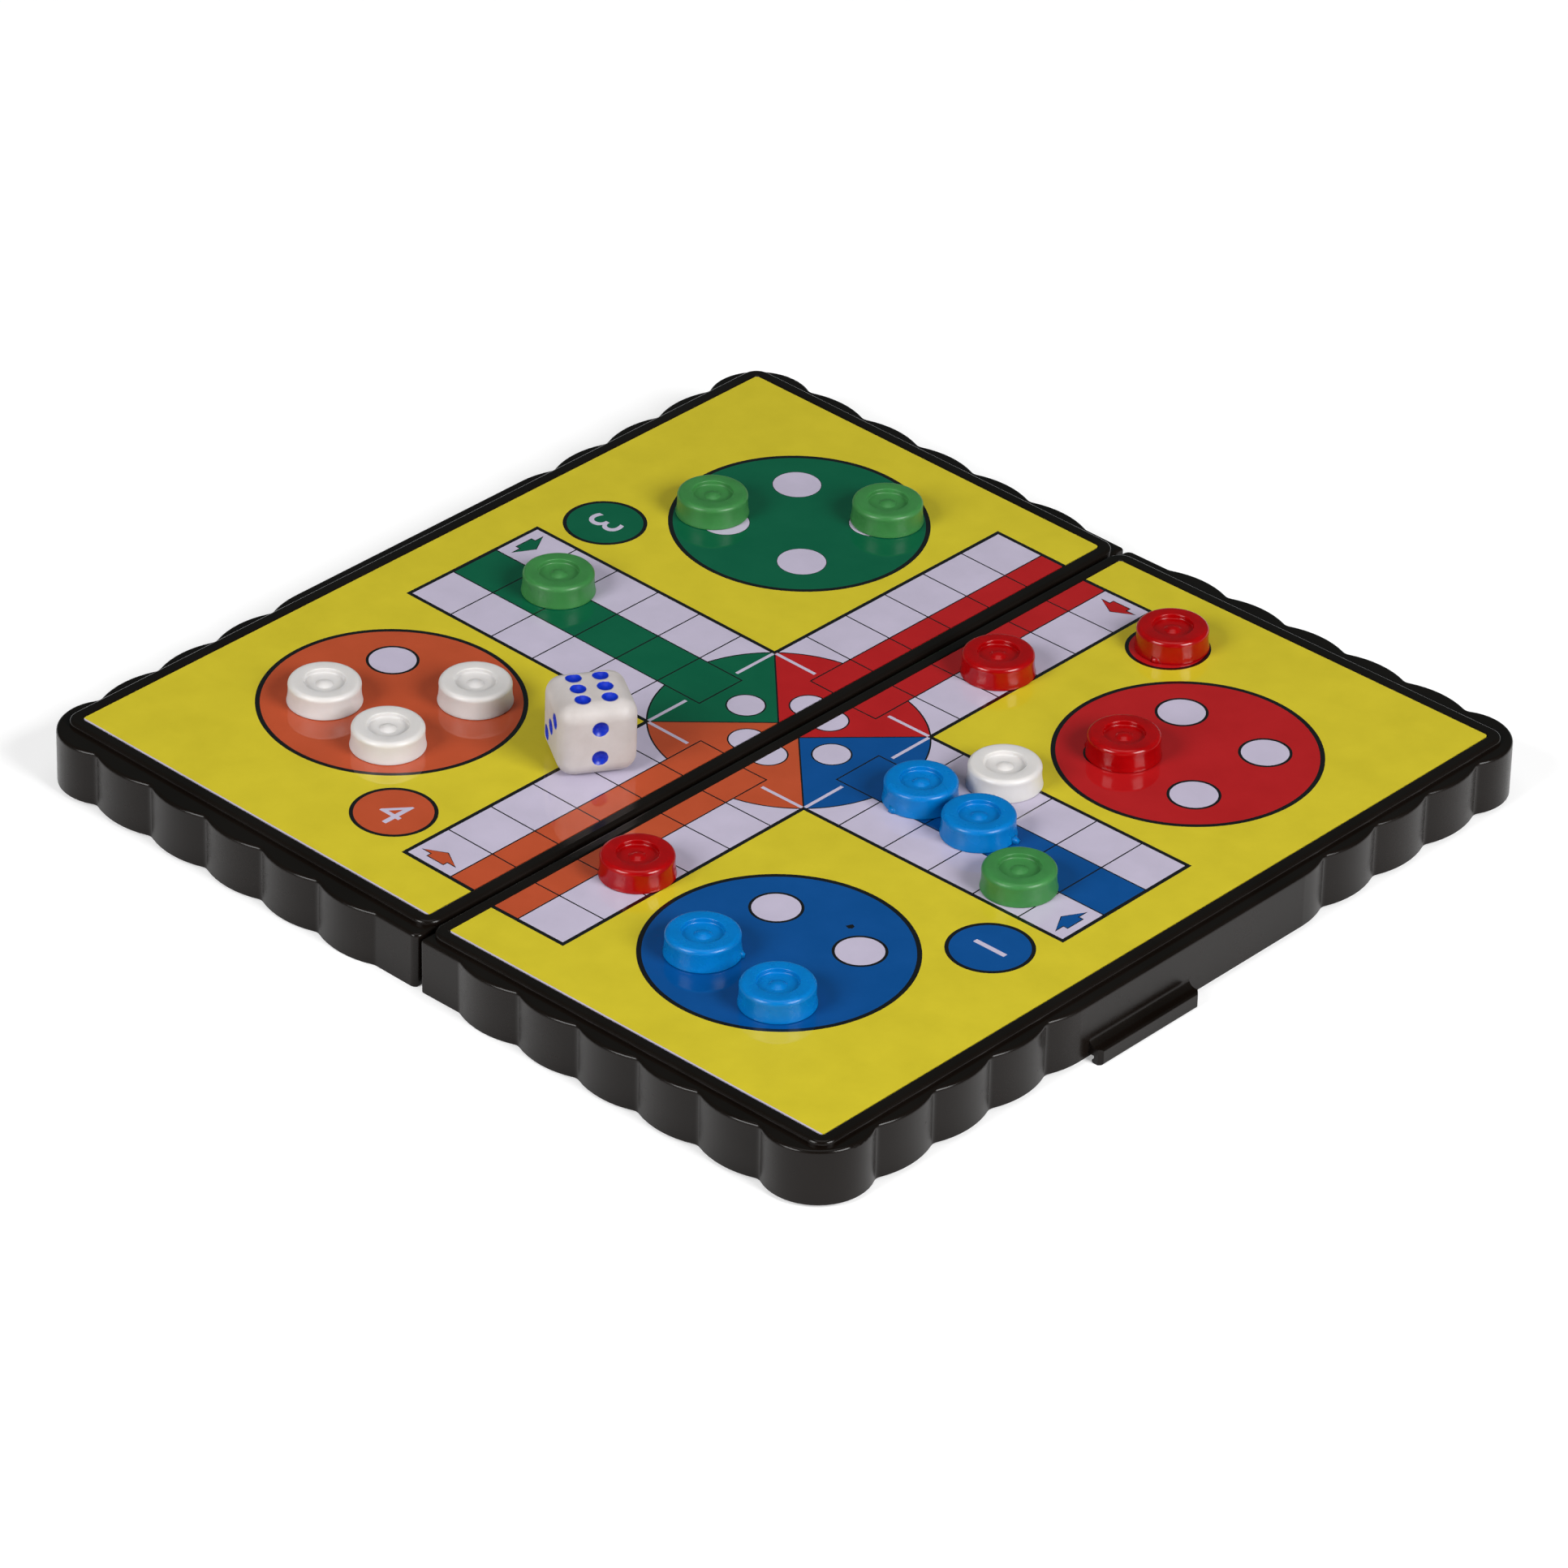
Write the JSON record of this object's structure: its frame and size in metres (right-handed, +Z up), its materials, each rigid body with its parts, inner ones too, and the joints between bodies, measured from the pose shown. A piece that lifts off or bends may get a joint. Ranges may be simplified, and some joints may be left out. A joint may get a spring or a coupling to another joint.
{
  "type": "folding magnetic ludo set",
  "caption": "Travel ludo set in a hinged plastic case that opens into the board, with magnetic counters and a die",
  "frame": {"origin": "middle of the seam between the two halves, on the surface that the open case lies on", "axes": "+X across the seam towards the half whose latch tab the picture shows, +Y along the seam, +Z up from the printed side"},
  "size_m": [0.1348, 0.1284, 0.0182],
  "materials": {
    "case_plastic": "satin",
    "link_plastic": "satin",
    "pin_steel": "polished",
    "steel_sheet": "satin",
    "printed_film": "gloss",
    "magnet_ferrite": "matt",
    "green_plastic": "satin",
    "white_plastic": "satin",
    "red_plastic": "gloss",
    "blue_plastic": "gloss",
    "die_plastic": "satin"
  },
  "bodies": {
    "case_west": {"case_half_west": "case_plastic", "steel_plate_west": "steel_sheet", "board_print_west": "printed_film", "hinge_pin_west_front": "pin_steel", "hinge_pin_west_back": "pin_steel"},
    "hinge_links": {"hinge_link_front": "link_plastic", "hinge_link_back": "link_plastic"},
    "case_east": {"case_half_east": "case_plastic", "steel_plate_east": "steel_sheet", "board_print_east": "printed_film", "hinge_pin_east_front": "pin_steel", "hinge_pin_east_back": "pin_steel"},
    "counter_green_1": {"counter_green_1": "green_plastic", "magnet_green_1": "magnet_ferrite"},
    "counter_green_2": {"counter_green_2": "green_plastic", "magnet_green_2": "magnet_ferrite"},
    "counter_green_3": {"counter_green_3": "green_plastic", "magnet_green_3": "magnet_ferrite"},
    "counter_green_4": {"counter_green_4": "green_plastic", "magnet_green_4": "magnet_ferrite"},
    "counter_white_1": {"counter_white_1": "white_plastic", "magnet_white_1": "magnet_ferrite"},
    "counter_white_2": {"counter_white_2": "white_plastic", "magnet_white_2": "magnet_ferrite"},
    "counter_white_3": {"counter_white_3": "white_plastic", "magnet_white_3": "magnet_ferrite"},
    "counter_white_4": {"counter_white_4": "white_plastic", "magnet_white_4": "magnet_ferrite"},
    "counter_red_1": {"counter_red_1": "red_plastic", "magnet_red_1": "magnet_ferrite"},
    "counter_red_2": {"counter_red_2": "red_plastic", "magnet_red_2": "magnet_ferrite"},
    "counter_red_3": {"counter_red_3": "red_plastic", "magnet_red_3": "magnet_ferrite"},
    "counter_red_4": {"counter_red_4": "red_plastic", "magnet_red_4": "magnet_ferrite"},
    "counter_blue_1": {"counter_blue_1": "blue_plastic", "magnet_blue_1": "magnet_ferrite"},
    "counter_blue_2": {"counter_blue_2": "blue_plastic", "magnet_blue_2": "magnet_ferrite"},
    "counter_blue_3": {"counter_blue_3": "blue_plastic", "magnet_blue_3": "magnet_ferrite"},
    "counter_blue_4": {"counter_blue_4": "blue_plastic", "magnet_blue_4": "magnet_ferrite"},
    "die": {"die": "die_plastic"}
  },
  "joints": [
    {"name": "fold_links", "type": "hinge", "parent": "case_west", "child": "hinge_links", "pos_m": [-0.00119, 0, 0.00105], "axis": [0, 1, 0], "range_deg": [-1.5, 90.56]},
    {"name": "fold_east", "type": "hinge", "parent": "hinge_links", "child": "case_east", "pos_m": [0.00119, 0, 0.00105], "axis": [0, 1, 0], "range_deg": [-1.5, 90.56]},
    {"name": "lift_green_1", "type": "slide", "parent": "case_west", "child": "counter_green_1", "axis": [0.0097, 0, 1], "range_m": [0, 0.02]},
    {"name": "lift_green_2", "type": "slide", "parent": "case_west", "child": "counter_green_2", "axis": [0.0097, 0, 1], "range_m": [0, 0.02]},
    {"name": "lift_green_3", "type": "slide", "parent": "case_west", "child": "counter_green_3", "axis": [0.0097, 0, 1], "range_m": [0, 0.02]},
    {"name": "lift_green_4", "type": "slide", "parent": "case_east", "child": "counter_green_4", "axis": [-0.0097, 0, 1], "range_m": [0, 0.02]},
    {"name": "lift_white_1", "type": "slide", "parent": "case_west", "child": "counter_white_1", "axis": [0.0097, 0, 1], "range_m": [0, 0.02]},
    {"name": "lift_white_2", "type": "slide", "parent": "case_west", "child": "counter_white_2", "axis": [0.0097, 0, 1], "range_m": [0, 0.02]},
    {"name": "lift_white_3", "type": "slide", "parent": "case_west", "child": "counter_white_3", "axis": [0.0097, 0, 1], "range_m": [0, 0.02]},
    {"name": "lift_white_4", "type": "slide", "parent": "case_east", "child": "counter_white_4", "axis": [-0.0097, 0, 1], "range_m": [0, 0.02]},
    {"name": "lift_red_1", "type": "slide", "parent": "case_east", "child": "counter_red_1", "axis": [-0.0097, 0, 1], "range_m": [0, 0.02]},
    {"name": "lift_red_2", "type": "slide", "parent": "case_east", "child": "counter_red_2", "axis": [-0.0097, 0, 1], "range_m": [0, 0.02]},
    {"name": "lift_red_3", "type": "slide", "parent": "case_east", "child": "counter_red_3", "axis": [-0.0097, 0, 1], "range_m": [0, 0.02]},
    {"name": "lift_red_4", "type": "slide", "parent": "case_east", "child": "counter_red_4", "axis": [-0.0097, 0, 1], "range_m": [0, 0.02]},
    {"name": "lift_blue_1", "type": "slide", "parent": "case_east", "child": "counter_blue_1", "axis": [-0.0097, 0, 1], "range_m": [0, 0.02]},
    {"name": "lift_blue_2", "type": "slide", "parent": "case_east", "child": "counter_blue_2", "axis": [-0.0097, 0, 1], "range_m": [0, 0.02]},
    {"name": "lift_blue_3", "type": "slide", "parent": "case_east", "child": "counter_blue_3", "axis": [-0.0097, 0, 1], "range_m": [0, 0.02]},
    {"name": "lift_blue_4", "type": "slide", "parent": "case_east", "child": "counter_blue_4", "axis": [-0.0097, 0, 1], "range_m": [0, 0.02]},
    {"name": "lift_die", "type": "slide", "parent": "case_west", "child": "die", "axis": [0.0097, 0, 1], "range_m": [0, 0.02]}
  ]
}
